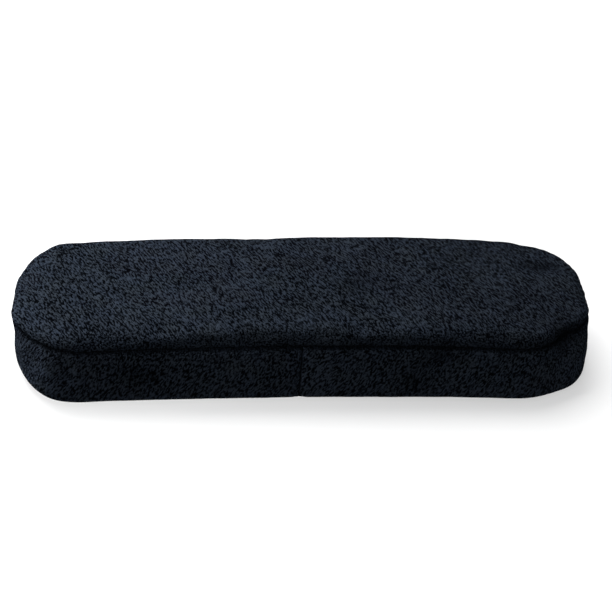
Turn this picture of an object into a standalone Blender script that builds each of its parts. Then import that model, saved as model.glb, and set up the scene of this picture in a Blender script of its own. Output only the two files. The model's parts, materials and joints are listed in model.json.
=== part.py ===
"""Chair armrest pad: a foam block in a zipped plush cover, with two hook-and-loop straps under it.

The pad lies along X with its front at -Y, and stands on Z = 0 on the rolled lower rim of its cover.
The underside is dished inside that rim, and the closed straps lie in the dish.
"""

import math

import bmesh
import bpy
from mathutils import Matrix, Vector

MM = 0.001

# The cushion
PAD_LENGTH = 260 * MM
PAD_WIDTH = 87 * MM
PAD_HEIGHT = 35.6 * MM
CORNER_RADIUS = 33 * MM  # of the outline, seen from above
TOP_SEAM_DROP = 6.6 * MM  # from the top face to the seam round it
TOP_ROLL_DEPTH = 5 * MM  # how far in the rounded top edge reaches
LOWER_ROLL_DEPTH = 4.5 * MM
LOWER_ROLL_HEIGHT = 6 * MM
RIM_WIDTH = 2 * MM  # the flat ring that the pad stands on
DISH_SLOPE = 2.5 * MM  # run of the slope from the rim up to the underside
COVER_THICKNESS = 1.4 * MM
GAP = 0.3 * MM  # between pieces that touch

# The zip, in the straight stretch of the rear wall
ZIP_SECTION_INSET = 9 * MM  # from the outline's corner to the end of the rear strips
ZIP_MARGIN = 3 * MM  # from the zip's end to the end of the rear strips
ZIP_SLOT = 6 * MM  # opening between the two rear strips
TAPE_MARGIN = 0.45 * MM  # a tape stops this short of the wall's rounded edges
TAPE_THICKNESS = 0.5 * MM
TAPE_TAIL = 7 * MM  # tape past the zip's end, behind the side bands
COIL_CHANNEL = 1.1 * MM  # between the two coils, where the slider's post runs
COIL_WIDTH = 1.2 * MM
COIL_THICKNESS = 1.2 * MM
COIL_PITCH = 1.6 * MM
COIL_TOOTH = 0.5 * MM  # how far a tooth stands out of its coil's spine
STOP_LENGTH = 2 * MM
SLIDER_LENGTH = 7 * MM
SLIDER_WIDTH = 5.2 * MM
SLIDER_WING = 0.7 * MM  # thickness of each of its two plates
SLIDER_POST_LENGTH = 2 * MM
SLIDER_CLEARANCE = 0.2 * MM  # on each side of the post
SLIDER_STANDOFF = 1.5 * MM  # from the closed slider to the top stops
CROWN_LENGTH = 4.4 * MM  # the bridge that holds the pull tab
CROWN_LEG = 0.7 * MM
CROWN_WIDTH = 1.6 * MM
CROWN_HEIGHT = 2.35 * MM
PULL_LENGTH = 17 * MM
PULL_WIDTH = 5 * MM
PULL_THICKNESS = 0.8 * MM
PULL_LIFT = 1.05 * MM  # the pull tab's axis above the slider's face
PULL_EYE_LENGTH = 2.75 * MM
PULL_EYE_WIDTH = 2.4 * MM
PULL_BAR = 0.9 * MM  # the bar under the crown

# The straps: each is a loop strap sewn on at the front and a hook strap sewn on at the rear
STRAP_FROM_END = 65 * MM  # from the pad's end to a strap's middle
STRAP_WIDTH = 25 * MM
HOOK_STRAP_THICKNESS = 0.9 * MM
LOOP_STRAP_THICKNESS = 1.1 * MM
HOOK_PATCH_THICKNESS = 0.7 * MM
PATCH_MARGIN = 1 * MM  # from the hook patch to the strap's edges
SEWN_END = 8 * MM  # length of a strap's stitched end
SEWN_END_MARGIN = 0.7 * MM  # from a stitched end to the underside's edge
FOLD_LENGTH = 1.8 * MM  # between a stitched end and the strap's hinge line
STRAP_TIP_MARGIN = 0.8 * MM  # a loop strap stops this short of the pad's middle
STEP_RUN = 5 * MM  # the hook strap steps down below the loop strap along this run
GRIP_THICKNESS = 0.4 * MM  # the raised anti-slip print on the underside
GRIP_MARGIN = 3 * MM

ARC_STEPS = 9  # per quarter turn of the outline
ROLL_STEPS = 4  # per rolled edge

# What follows from them
TOP_SEAM_HEIGHT = PAD_HEIGHT - TOP_SEAM_DROP
DISH_DEPTH = HOOK_STRAP_THICKNESS + HOOK_PATCH_THICKNESS + LOOP_STRAP_THICKNESS + 4 * GAP
UNDERSIDE_INSET = LOWER_ROLL_DEPTH + RIM_WIDTH + DISH_SLOPE
FOAM_INSET = COVER_THICKNESS + GAP
REAR = PAD_WIDTH / 2
REAR_INNER = REAR - COVER_THICKNESS
TAPE_OUTER = REAR_INNER - GAP
COIL_MIDDLE = TAPE_OUTER - TAPE_THICKNESS / 2
COIL_HALF = COIL_CHANNEL / 2 + COIL_WIDTH
REAR_STRIP_END = PAD_LENGTH / 2 - CORNER_RADIUS - ZIP_SECTION_INSET
ZIP_LENGTH = 2 * (REAR_STRIP_END - ZIP_MARGIN)
ZIP_HEIGHT = (LOWER_ROLL_HEIGHT + TOP_SEAM_HEIGHT) / 2
TAPE_WIDTH = (TOP_SEAM_HEIGHT - LOWER_ROLL_HEIGHT) / 2 - COIL_HALF - GAP - TAPE_MARGIN
SLIDER_FACE = COIL_MIDDLE + COIL_THICKNESS / 2 + GAP + SLIDER_WING
SLIDER_BACK = COIL_MIDDLE - COIL_THICKNESS / 2 - GAP - SLIDER_WING
SLIDER_REST = SLIDER_STANDOFF + STOP_LENGTH + SLIDER_LENGTH / 2 - ZIP_LENGTH / 2
PULL_AXIS = SLIDER_FACE + PULL_LIFT
HINGE_Y = PAD_WIDTH / 2 - UNDERSIDE_INSET - SEWN_END_MARGIN - SEWN_END - FOLD_LENGTH
LOOP_LENGTH = HINGE_Y - STRAP_TIP_MARGIN
HOOK_LENGTH = 2 * HINGE_Y - PATCH_MARGIN
PATCH_LENGTH = LOOP_LENGTH - 2 * PATCH_MARGIN
HOOK_STRAP_MIDDLE = GAP + HOOK_STRAP_THICKNESS / 2
LOOP_STRAP_MIDDLE = DISH_DEPTH - GAP - LOOP_STRAP_THICKNESS / 2
HOOK_ROOT_MIDDLE = DISH_DEPTH - GAP - HOOK_STRAP_THICKNESS / 2
STRAP_STATION = PAD_LENGTH / 2 - STRAP_FROM_END
STATIONS = {"left": -STRAP_STATION, "right": STRAP_STATION}


def clear_scene():
    for thing in list(bpy.data.objects):
        bpy.data.objects.remove(thing, do_unlink=True)


def material(name, colour, roughness, metallic=0.0):
    made = bpy.data.materials.new(name)
    made.use_nodes = True
    shader = made.node_tree.nodes["Principled BSDF"]
    shader.inputs["Base Color"].default_value = (*colour, 1.0)
    shader.inputs["Roughness"].default_value = roughness
    shader.inputs["Metallic"].default_value = metallic
    made.diffuse_color = (*colour, 1.0)
    return made


def add_object(name, bm, finish, origin=(0, 0, 0)):
    """An object from a bmesh in world coordinates, with its origin moved to the point given."""
    bmesh.ops.recalc_face_normals(bm, faces=bm.faces)
    bmesh.ops.translate(bm, verts=bm.verts, vec=-Vector(origin))
    mesh = bpy.data.meshes.new(name)
    bm.to_mesh(mesh)
    bm.free()
    mesh.materials.append(finish)
    mesh.shade_smooth()
    mesh.set_sharp_from_angle(angle=math.radians(35))
    thing = bpy.data.objects.new(name, mesh)
    thing.location = origin
    bpy.context.scene.collection.objects.link(thing)
    return thing


def make_helper(thing):
    thing.hide_render = True
    thing.display_type = "WIRE"


def boolean(thing, other, operation):
    """Cuts or joins with a helper object, which isn't a piece itself."""
    make_helper(other)
    step = thing.modifiers.new(operation.lower(), "BOOLEAN")
    step.operation = operation
    step.solver = "EXACT"
    step.object = other


def box(low, high):
    bm = bmesh.new()
    low, high = Vector(low), Vector(high)
    size = Matrix.Diagonal((*(high - low), 1))
    bmesh.ops.create_cube(bm, size=1, matrix=Matrix.Translation((low + high) / 2) @ size)
    return bm


def round_edges(bm, along, width, segments=2):
    """Bevels the edges that run along one axis."""
    edges = []
    for edge in bm.edges:
        run = edge.verts[1].co - edge.verts[0].co
        if abs(run[along]) > 0.99 * run.length:
            edges.append(edge)
    bmesh.ops.bevel(bm, geom=edges, offset=width, segments=segments, profile=0.5, affect="EDGES")


# The cushion's outline and wall


def outline(inset):
    """The pad's outline seen from above, moved inwards, as points of four arcs."""
    radius = CORNER_RADIUS - inset
    across = PAD_LENGTH / 2 - CORNER_RADIUS
    deep = PAD_WIDTH / 2 - CORNER_RADIUS
    corners = ((across, deep), (-across, deep), (-across, -deep), (across, -deep))
    points = []
    for quarter, (x, y) in enumerate(corners):
        for step in range(ARC_STEPS + 1):
            turn = math.pi / 2 * (quarter + step / ARC_STEPS)
            points.append((x + radius * math.cos(turn), y + radius * math.sin(turn)))
    return points


def loft(profile):
    """A closed body through outlines at each (inset, height) of the profile, capped at both ends."""
    bm = bmesh.new()
    rings = [[bm.verts.new((x, y, height)) for x, y in outline(inset)] for inset, height in profile]
    for lower, upper in zip(rings, rings[1:]):
        for index, corner in enumerate(lower):
            before = index - 1
            bm.faces.new((lower[before], corner, upper[index], upper[before]))
    bm.faces.new(rings[0])
    bm.faces.new(rings[-1])
    return bm


def roll(depth, height, centre_height, inwards, rising):
    """Points of a rolled edge from the wall to its flat end, as (inset, height)."""
    points = []
    for step in range(ROLL_STEPS + 1):
        turn = math.pi / 2 * step / ROLL_STEPS
        inset = depth - (depth - inwards) * math.cos(turn)
        lift = (height - inwards) * math.sin(turn)
        points.append((inset, centre_height + lift if rising else centre_height - lift))
    return points


def top_roll(inwards):
    height = PAD_HEIGHT - TOP_SEAM_HEIGHT
    return roll(TOP_ROLL_DEPTH, height, TOP_SEAM_HEIGHT, inwards, rising=True)


def lower_wall(inwards, edge_inset=UNDERSIDE_INSET):
    """The wall's lower end: down the roll, across the rim and up the slope to the underside."""
    slope_shift = (math.hypot(DISH_SLOPE, DISH_DEPTH) - DISH_SLOPE) / DISH_DEPTH * inwards
    points = roll(LOWER_ROLL_DEPTH, LOWER_ROLL_HEIGHT, LOWER_ROLL_HEIGHT, inwards, rising=False)
    points.append((LOWER_ROLL_DEPTH + RIM_WIDTH - slope_shift, inwards))
    points.append((edge_inset - slope_shift, DISH_DEPTH + inwards))
    return points


def skirt(top):
    """The closed section of a band that reaches from the height given to the underside's seam."""
    seam = UNDERSIDE_INSET - GAP
    outer = [(0, top)] + lower_wall(0, seam)
    inner = [(COVER_THICKNESS, top)] + lower_wall(COVER_THICKNESS, seam)
    return outer + inner[::-1]


def make_foam_core(finish):
    profile = lower_wall(FOAM_INSET)[::-1] + top_roll(FOAM_INSET)
    core = add_object("foam_core", loft(profile), finish)
    half_height = ZIP_SLOT / 2 + TAPE_WIDTH + GAP
    half_length = ZIP_LENGTH / 2 + TAPE_TAIL + GAP
    low = (-half_length, SLIDER_BACK - GAP, ZIP_HEIGHT - half_height)
    high = (half_length, REAR + COVER_THICKNESS, ZIP_HEIGHT + half_height)
    boolean(core, add_object("zip_recess_cutter", box(low, high), finish), "DIFFERENCE")


def make_top_panel(finish):
    outer = top_roll(0)
    inner = top_roll(COVER_THICKNESS)
    outer[0] = (outer[0][0], TOP_SEAM_HEIGHT + GAP / 2)
    inner[0] = (inner[0][0], TOP_SEAM_HEIGHT + GAP / 2)
    add_object("top_panel", loft(outer[::-1] + inner), finish)


def make_side_band(name, side, finish):
    """Half of the side wall, from the joint at the front's middle round one end to the zip's section."""
    bm = bmesh.new()
    front = -PAD_WIDTH / 2
    corner_x = PAD_LENGTH / 2 - CORNER_RADIUS
    corner_y = PAD_WIDTH / 2 - CORNER_RADIUS
    section = skirt(TOP_SEAM_HEIGHT - GAP / 2)
    end = bm.faces.new([bm.verts.new((GAP / 2, front + inset, z)) for inset, z in section])

    def run(along):
        nonlocal end
        made = bmesh.ops.extrude_face_region(bm, geom=[end, *end.edges, *end.verts])["geom"]
        corners = [item for item in made if isinstance(item, bmesh.types.BMVert)]
        bmesh.ops.translate(bm, verts=corners, vec=along)
        end = next(item for item in made if isinstance(item, bmesh.types.BMFace))

    def turn(centre_y):
        nonlocal end
        made = bmesh.ops.spin(
            bm,
            geom=[end, *end.edges, *end.verts],
            cent=(corner_x, centre_y, 0),
            axis=(0, 0, 1),
            angle=math.pi / 2,
            steps=ARC_STEPS,
            use_merge=False,
            use_duplicate=False,
        )["geom_last"]
        end = next(item for item in made if isinstance(item, bmesh.types.BMFace))

    run((corner_x - GAP / 2, 0, 0))
    turn(-corner_y)
    run((0, 2 * corner_y, 0))
    turn(corner_y)
    run((REAR_STRIP_END + GAP - corner_x, 0, 0))
    bmesh.ops.scale(bm, verts=bm.verts, vec=(side, 1, 1))
    add_object(name, bm, finish)


def make_rear_strip(name, section, finish):
    """A straight length of the rear wall with the section given."""
    bm = bmesh.new()
    start = [bm.verts.new((-REAR_STRIP_END, REAR - inset, z)) for inset, z in section]
    made = bmesh.ops.extrude_face_region(bm, geom=[bm.faces.new(start)])["geom"]
    corners = [item for item in made if isinstance(item, bmesh.types.BMVert)]
    bmesh.ops.translate(bm, verts=corners, vec=(2 * REAR_STRIP_END, 0, 0))
    add_object(name, bm, finish)


def make_rear_strips(finish):
    low = ZIP_HEIGHT + ZIP_SLOT / 2
    high = TOP_SEAM_HEIGHT - GAP / 2
    upper = [(0, low), (0, high), (COVER_THICKNESS, high), (COVER_THICKNESS, low)]
    make_rear_strip("rear_upper_strip", upper, finish)
    make_rear_strip("rear_lower_strip", skirt(ZIP_HEIGHT - ZIP_SLOT / 2), finish)


def make_bottom_panel(finish):
    """The underside's cloth, with its anti-slip print standing out between and beyond the straps."""
    profile = [(UNDERSIDE_INSET, DISH_DEPTH), (UNDERSIDE_INSET, DISH_DEPTH + COVER_THICKNESS)]
    panel = add_object("bottom_panel", loft(profile), finish)
    half_width = PAD_WIDTH / 2 - UNDERSIDE_INSET - GRIP_MARGIN
    strap_edge = STRAP_STATION + STRAP_WIDTH / 2 + GRIP_MARGIN
    bay_end = STRAP_STATION - STRAP_WIDTH / 2 - GRIP_MARGIN
    far_end = PAD_LENGTH / 2 - CORNER_RADIUS
    bays = {
        "middle": (-bay_end, bay_end),
        "left": (-far_end, -strap_edge),
        "right": (strap_edge, far_end),
    }
    for place, (start, stop) in bays.items():
        low = (start, -half_width, DISH_DEPTH - GRIP_THICKNESS)
        high = (stop, half_width, DISH_DEPTH + COVER_THICKNESS / 2)
        boolean(panel, add_object(f"grip_print_{place}", box(low, high), finish), "UNION")


# The zip


def make_zip_tapes(finish):
    half_length = ZIP_LENGTH / 2 + TAPE_TAIL
    near = COIL_HALF + GAP
    for place, side in (("upper", 1), ("lower", -1)):
        edges = sorted((ZIP_HEIGHT + side * near, ZIP_HEIGHT + side * (near + TAPE_WIDTH)))
        low = (-half_length, TAPE_OUTER - TAPE_THICKNESS, edges[0])
        high = (half_length, TAPE_OUTER, edges[1])
        add_object(f"zip_tape_{place}", box(low, high), finish)


def make_zip_coils(finish):
    """Each coil is a spine with a row of teeth towards the other coil."""
    half_length = ZIP_LENGTH / 2 - STOP_LENGTH - GAP
    count = int(2 * half_length / COIL_PITCH)
    start = -count * COIL_PITCH / 2
    for place, side in (("upper", 1), ("lower", -1)):
        bm = bmesh.new()
        back = ZIP_HEIGHT + side * COIL_HALF
        root = ZIP_HEIGHT + side * (COIL_CHANNEL / 2 + COIL_TOOTH)
        tip = ZIP_HEIGHT + side * COIL_CHANNEL / 2
        edge = [(half_length, back), (-half_length, back), (-half_length, root)]
        for index in range(count):
            x = start + index * COIL_PITCH
            near, far = x + COIL_PITCH / 4, x + 3 * COIL_PITCH / 4
            edge += [(near, root), (near, tip), (far, tip), (far, root)]
        edge.append((half_length, root))
        depth = COIL_MIDDLE - COIL_THICKNESS / 2
        made = bmesh.ops.extrude_face_region(
            bm, geom=[bm.faces.new([bm.verts.new((x, depth, z)) for x, z in edge])]
        )["geom"]
        corners = [item for item in made if isinstance(item, bmesh.types.BMVert)]
        bmesh.ops.translate(bm, verts=corners, vec=(0, COIL_THICKNESS, 0))
        add_object(f"zip_coil_{place}", bm, finish)


def make_zip_stops(finish):
    outer, inner = ZIP_LENGTH / 2, ZIP_LENGTH / 2 - STOP_LENGTH
    front, back = COIL_MIDDLE - COIL_THICKNESS / 2, COIL_MIDDLE + COIL_THICKNESS / 2
    near, far = COIL_CHANNEL / 2, COIL_HALF
    spans = {
        "zip_top_stop_upper": (-outer, -inner, near, far),
        "zip_top_stop_lower": (-outer, -inner, -far, -near),
        "zip_bottom_stop": (inner, outer, -far, far),
    }
    for name, (left, right, low, high) in spans.items():
        bm = box((left, front, ZIP_HEIGHT + low), (right, back, ZIP_HEIGHT + high))
        round_edges(bm, 0, COIL_THICKNESS / 4)
        add_object(name, bm, finish)


def make_zip_slider(finish):
    """Two plates round the coils, joined by a post that runs between them, and a crown for the tab."""
    half_length, half_width = SLIDER_LENGTH / 2, SLIDER_WIDTH / 2
    post_half = COIL_CHANNEL / 2 - SLIDER_CLEARANCE
    nose = SLIDER_REST - half_length
    centre = (SLIDER_REST, SLIDER_FACE, ZIP_HEIGHT)

    def part(name, low, high, along=None, width=0.0):
        bm = box((low[0], low[1], ZIP_HEIGHT + low[2]), (high[0], high[1], ZIP_HEIGHT + high[2]))
        if along is not None:
            round_edges(bm, along, width)
        return add_object(name, bm, finish, centre)

    left, right = nose, SLIDER_REST + half_length
    plate_corner = SLIDER_WIDTH / 5
    slider = part(
        "zip_slider",
        (left, SLIDER_FACE - SLIDER_WING, -half_width),
        (right, SLIDER_FACE, half_width),
        1,
        plate_corner,
    )
    back_plate = part(
        "slider_back_plate",
        (left, SLIDER_BACK, -half_width),
        (right, SLIDER_BACK + SLIDER_WING, half_width),
        1,
        plate_corner,
    )
    post = part(
        "slider_post",
        (left + SLIDER_WING, SLIDER_BACK + SLIDER_WING / 2, -post_half),
        (left + SLIDER_WING + SLIDER_POST_LENGTH, SLIDER_FACE - SLIDER_WING / 2, post_half),
    )
    half_crown = CROWN_LENGTH / 2
    crown = part(
        "slider_crown",
        (SLIDER_REST - half_crown, SLIDER_FACE - SLIDER_WING / 2, -CROWN_WIDTH / 2),
        (SLIDER_REST + half_crown, SLIDER_FACE + CROWN_HEIGHT, CROWN_WIDTH / 2),
        2,
        CROWN_LEG / 2,
    )
    crown_hole = part(
        "crown_hole_cutter",
        (SLIDER_REST - half_crown + CROWN_LEG, SLIDER_FACE, -CROWN_WIDTH),
        (SLIDER_REST + half_crown - CROWN_LEG, SLIDER_FACE + CROWN_HEIGHT - CROWN_LEG, CROWN_WIDTH),
    )
    boolean(crown, crown_hole, "DIFFERENCE")
    for piece in (post, back_plate, crown):
        boolean(slider, piece, "UNION")


def make_pull_tab(finish):
    """A flat tab whose end bar lies under the slider's crown, with its origin on that bar."""
    axis = (SLIDER_REST, PULL_AXIS, ZIP_HEIGHT)
    half_thickness, half_width = PULL_THICKNESS / 2, PULL_WIDTH / 2
    start = SLIDER_REST - PULL_BAR / 2
    bm = box(
        (start, PULL_AXIS - half_thickness, ZIP_HEIGHT - half_width),
        (start + PULL_LENGTH, PULL_AXIS + half_thickness, ZIP_HEIGHT + half_width),
    )
    round_edges(bm, 1, PULL_WIDTH / 5)
    tab = add_object("zip_pull_tab", bm, finish, axis)
    eye = SLIDER_REST + PULL_BAR / 2
    low = (eye, PULL_AXIS - PULL_THICKNESS, ZIP_HEIGHT - PULL_EYE_WIDTH / 2)
    high = (eye + PULL_EYE_LENGTH, PULL_AXIS + PULL_THICKNESS, ZIP_HEIGHT + PULL_EYE_WIDTH / 2)
    boolean(tab, add_object("pull_eye_cutter", box(low, high), finish, axis), "DIFFERENCE")


# The straps


def ribbon(name, route, thickness, width, station, finish, hinge):
    """A flat strap: its route in the YZ plane given a thickness, and its width along X."""
    bm = bmesh.new()
    above, below = [], []
    for index, point in enumerate(route):
        before = route[max(index - 1, 0)]
        after = route[min(index + 1, len(route) - 1)]
        along = Vector((0, after[0] - before[0], after[1] - before[1])).normalized()
        across = along.cross(Vector((1, 0, 0))) * thickness / 2
        middle = Vector((station - width / 2, point[0], point[1]))
        above.append(bm.verts.new(middle + across))
        below.append(bm.verts.new(middle - across))
    side = bm.faces.new(above + below[::-1])
    made = bmesh.ops.extrude_face_region(bm, geom=[side])["geom"]
    corners = [item for item in made if isinstance(item, bmesh.types.BMVert)]
    bmesh.ops.translate(bm, verts=corners, vec=(width, 0, 0))
    return add_object(name, bm, finish, hinge)


def make_straps(webbing, loop_cloth, hook_tape):
    patch_top = LOOP_STRAP_MIDDLE - LOOP_STRAP_THICKNESS / 2 - GAP
    patch_middle = patch_top - HOOK_PATCH_THICKNESS / 2
    sewn = (HINGE_Y + FOLD_LENGTH, HINGE_Y + FOLD_LENGTH + SEWN_END)
    tip = HINGE_Y - HOOK_LENGTH
    for place, station in STATIONS.items():
        front = (station, -HINGE_Y, LOOP_STRAP_MIDDLE)
        rear = (station, HINGE_Y, HOOK_ROOT_MIDDLE)
        ends = [(-sewn[1], LOOP_STRAP_MIDDLE), (-sewn[0], LOOP_STRAP_MIDDLE)]
        ribbon(f"loop_strap_sewn_end_{place}", ends, LOOP_STRAP_THICKNESS, STRAP_WIDTH,
               station, loop_cloth, front)
        route = [(-HINGE_Y, LOOP_STRAP_MIDDLE), (-HINGE_Y + LOOP_LENGTH, LOOP_STRAP_MIDDLE)]
        ribbon(f"loop_strap_{place}", route, LOOP_STRAP_THICKNESS, STRAP_WIDTH,
               station, loop_cloth, front)
        ends = [(sewn[1], HOOK_ROOT_MIDDLE), (sewn[0], HOOK_ROOT_MIDDLE)]
        ribbon(f"hook_strap_sewn_end_{place}", ends, HOOK_STRAP_THICKNESS, STRAP_WIDTH,
               station, webbing, rear)
        route = [
            (HINGE_Y, HOOK_ROOT_MIDDLE),
            (HINGE_Y - STEP_RUN, HOOK_STRAP_MIDDLE),
            (tip, HOOK_STRAP_MIDDLE),
        ]
        ribbon(f"hook_strap_{place}", route, HOOK_STRAP_THICKNESS, STRAP_WIDTH,
               station, webbing, rear)
        start = tip + PATCH_MARGIN
        route = [(start, patch_middle), (start + PATCH_LENGTH, patch_middle)]
        ribbon(f"hook_patch_{place}", route, HOOK_PATCH_THICKNESS,
               STRAP_WIDTH - 2 * PATCH_MARGIN, station, hook_tape, rear)


def main():
    clear_scene()
    plush = material("black_plush", (0.013, 0.015, 0.019), 0.95)
    make_foam_core(material("memory_foam", (0.80, 0.77, 0.68), 0.9))
    make_top_panel(plush)
    make_side_band("left_band", -1, plush)
    make_side_band("right_band", 1, plush)
    make_rear_strips(plush)
    make_bottom_panel(material("anti_slip_cloth", (0.02, 0.02, 0.022), 0.85))
    make_zip_tapes(material("zip_tape", (0.015, 0.015, 0.017), 0.85))
    make_zip_coils(material("zip_nylon", (0.02, 0.02, 0.022), 0.45))
    metal = material("zip_metal", (0.05, 0.05, 0.055), 0.35, 0.9)
    make_zip_stops(metal)
    make_zip_slider(metal)
    make_pull_tab(metal)
    make_straps(
        material("elastic_webbing", (0.018, 0.018, 0.02), 0.8),
        material("loop_cloth", (0.02, 0.02, 0.022), 0.95),
        material("hook_tape", (0.025, 0.025, 0.027), 0.6),
    )


if __name__ == "__main__":
    main()
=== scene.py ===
"""Chair armrest pad: the looks of a foam pad in a zipped plush cover, with two hook-and-loop straps under it.

The pad lies along X with its front at -Y and stands on the floor at Z = 0. Sizes are in metres. Each panel of
the cover is shaped as a coarse net, settled as cloth between its seams, and then given its fine relief.
"""

import json
import math

import bmesh
import bpy
from bpy.props import FloatProperty, FloatVectorProperty, IntProperty, PointerProperty
from mathutils import Matrix, Vector, noise


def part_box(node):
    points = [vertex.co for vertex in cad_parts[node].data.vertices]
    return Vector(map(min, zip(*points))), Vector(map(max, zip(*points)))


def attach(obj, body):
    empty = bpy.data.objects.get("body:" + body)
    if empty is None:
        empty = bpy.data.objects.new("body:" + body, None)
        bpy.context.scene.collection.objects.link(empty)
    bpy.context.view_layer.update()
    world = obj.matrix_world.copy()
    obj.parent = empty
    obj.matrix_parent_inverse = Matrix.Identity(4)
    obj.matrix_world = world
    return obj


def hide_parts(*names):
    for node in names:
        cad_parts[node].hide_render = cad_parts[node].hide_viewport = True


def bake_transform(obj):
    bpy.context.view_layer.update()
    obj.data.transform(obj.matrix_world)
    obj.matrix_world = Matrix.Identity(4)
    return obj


bl_info = {
    "name": "Armrest Pad",
    "version": (1, 0, 0),
    "blender": (4, 5, 0),
    "location": "View3D > Sidebar > Armrest Pad",
    "description": "Builds a plush chair armrest pad with its zip and straps around its CAD frame",
    "category": "Object",
}

MM = 0.001
QUARTER = math.pi / 2

FINISHES = {}  # the materials made so far, by name

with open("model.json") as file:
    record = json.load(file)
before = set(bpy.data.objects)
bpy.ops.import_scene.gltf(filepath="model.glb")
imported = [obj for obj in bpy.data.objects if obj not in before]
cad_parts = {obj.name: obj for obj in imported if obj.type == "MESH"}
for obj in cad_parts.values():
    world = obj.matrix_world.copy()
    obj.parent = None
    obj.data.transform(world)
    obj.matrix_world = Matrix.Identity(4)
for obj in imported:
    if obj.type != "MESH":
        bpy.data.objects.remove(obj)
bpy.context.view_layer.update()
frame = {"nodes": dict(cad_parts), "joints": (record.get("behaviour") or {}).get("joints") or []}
TOP_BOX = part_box("top_panel")
BAND_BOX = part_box("right_band")
UNDERSIDE_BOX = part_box("bottom_panel")


# ---------------------------------------------------------------- settings


def length(name, description, default):
    return FloatProperty(
        name=name, description=description, default=default, min=0.0, precision=5, unit="LENGTH"
    )


def colour(name, description, default):
    return FloatVectorProperty(
        name=name, description=description, default=default, size=3, min=0.0, max=1.0, subtype="COLOR"
    )


class CoverSizes(bpy.types.PropertyGroup):
    """Sizes of the plush cover"""

    half_length: length("Half length", "From the middle to the end of the pad", TOP_BOX[1].x)
    half_width: length("Half width", "From the middle to the front of the pad", -TOP_BOX[0].y)
    height: length("Height", "From the floor to the top face", TOP_BOX[1].z)
    corner_radius: length("Corner radius", "Of the outline, seen from above", 33 * MM)
    seam_height: length("Seam height", "Of the seam between the top and the side band", BAND_BOX[1].z)
    top_roll: length("Top roll", "How far in the rounded top edge reaches", 5 * MM)
    bulge: length("Bulge", "How far the side band stands out past its seam", 1.1 * MM)
    cloth: length("Cloth thickness", "Of the plush with its backing", 1.1 * MM)
    foam_slack: length("Foam slack", "How much smaller the foam is than its place in the frame", 3.0 * MM)
    allowance: length("Seam allowance", "Of a narrow strip, folded away behind it", 2.0 * MM)
    net: length("Net size", "Of one cell of the cloth before it is refined", 3.0 * MM)
    pucker: length("Pucker", "Height of the small gathers along the seams", 0.5 * MM)
    seam_arch: length("Seam arch", "How far the front's top seam rises in the middle", 1.2 * MM)
    crown: length("Crown", "How far the top face rises in the middle", 1.8 * MM)
    drop: length("Drop", "How far the top face falls towards the ends", 2.4 * MM)
    arch: length("Arch", "How far the lower edge lifts in the middle of the front", 2.1 * MM)


class ZipSizes(bpy.types.PropertyGroup):
    """Sizes of the zip in the rear wall"""

    pitch: length("Pitch", "From one tooth to the next", 1.6 * MM)
    wire: length("Wire radius", "Of the coiled thread that makes the teeth", 0.2 * MM)
    edge: length("Edge radius", "On the slider's and the tab's edges", 0.16 * MM)


class StrapSizes(bpy.types.PropertyGroup):
    """Sizes of the straps and the grip print"""

    thread: length("Thread radius", "Of the stitching", 0.2 * MM)
    stitch: length("Stitch length", "From one needle hole to the next", 2.4 * MM)
    dot_radius: length("Dot radius", "Of a dot of the grip print", 1.0 * MM)
    dot_pitch: length("Dot pitch", "From one dot to the next", 4.5 * MM)
    hook_pitch: length("Hook pitch", "From one hook to the next on the patch", 1.5 * MM)


class Colours(bpy.types.PropertyGroup):
    """Colours of the materials"""

    pile_dark: colour("Pile, dark", "Plush where its pile leans away", (0.0008, 0.0010, 0.0016))
    pile_light: colour("Pile, light", "Plush where its pile catches the light", (0.0220, 0.0290, 0.0420))
    foam: colour("Foam", "Of the memory foam", (0.060, 0.062, 0.068))
    webbing: colour("Webbing", "Of the straps and the zip's tapes", (0.016, 0.017, 0.019))
    nylon: colour("Nylon", "Of the coils, hooks and thread", (0.022, 0.023, 0.026))
    metal: colour("Metal", "Of the slider, the tab and the stops", (0.035, 0.036, 0.040))
    grip: colour("Grip print", "Of the rubber dots", (0.012, 0.012, 0.013))


class PadSettings(bpy.types.PropertyGroup):
    """Everything that the pad is built from"""

    cover: PointerProperty(type=CoverSizes)
    zip: PointerProperty(type=ZipSizes)
    strap: PointerProperty(type=StrapSizes)
    colours: PointerProperty(type=Colours)
    settle_frames: IntProperty(
        name="Settling", description="Frames that the cloth takes to settle", default=20, min=2, max=60
    )


# ---------------------------------------------------------------- materials


class Value:
    """A number socket. An expression on it adds the Math nodes that work it out."""

    def __init__(self, finish, socket):
        self.finish, self.socket = finish, socket

    def math(self, operation, other):
        return self.finish.value("ShaderNodeMath", {"operation": operation}, {0: self, 1: other})

    def __add__(self, other):
        return self.math("ADD", other)

    def __sub__(self, other):
        return self.math("SUBTRACT", other)

    def __rsub__(self, other):
        return self.finish.value("ShaderNodeMath", {"operation": "SUBTRACT"}, {0: other, 1: self})

    def __mul__(self, other):
        return self.math("MULTIPLY", other)

    def __truediv__(self, other):
        return self.math("DIVIDE", other)

    def __pow__(self, other):
        return self.math("POWER", other)

    __radd__, __rmul__ = __add__, __mul__

    def clamped(self):
        return self.math("MAXIMUM", 0.0).math("MINIMUM", 1.0)

    def stretched(self, low, high):
        """Low becomes 0 and high becomes 1, with what is outside them cut off."""
        return ((self - low) / (high - low)).clamped()


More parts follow.
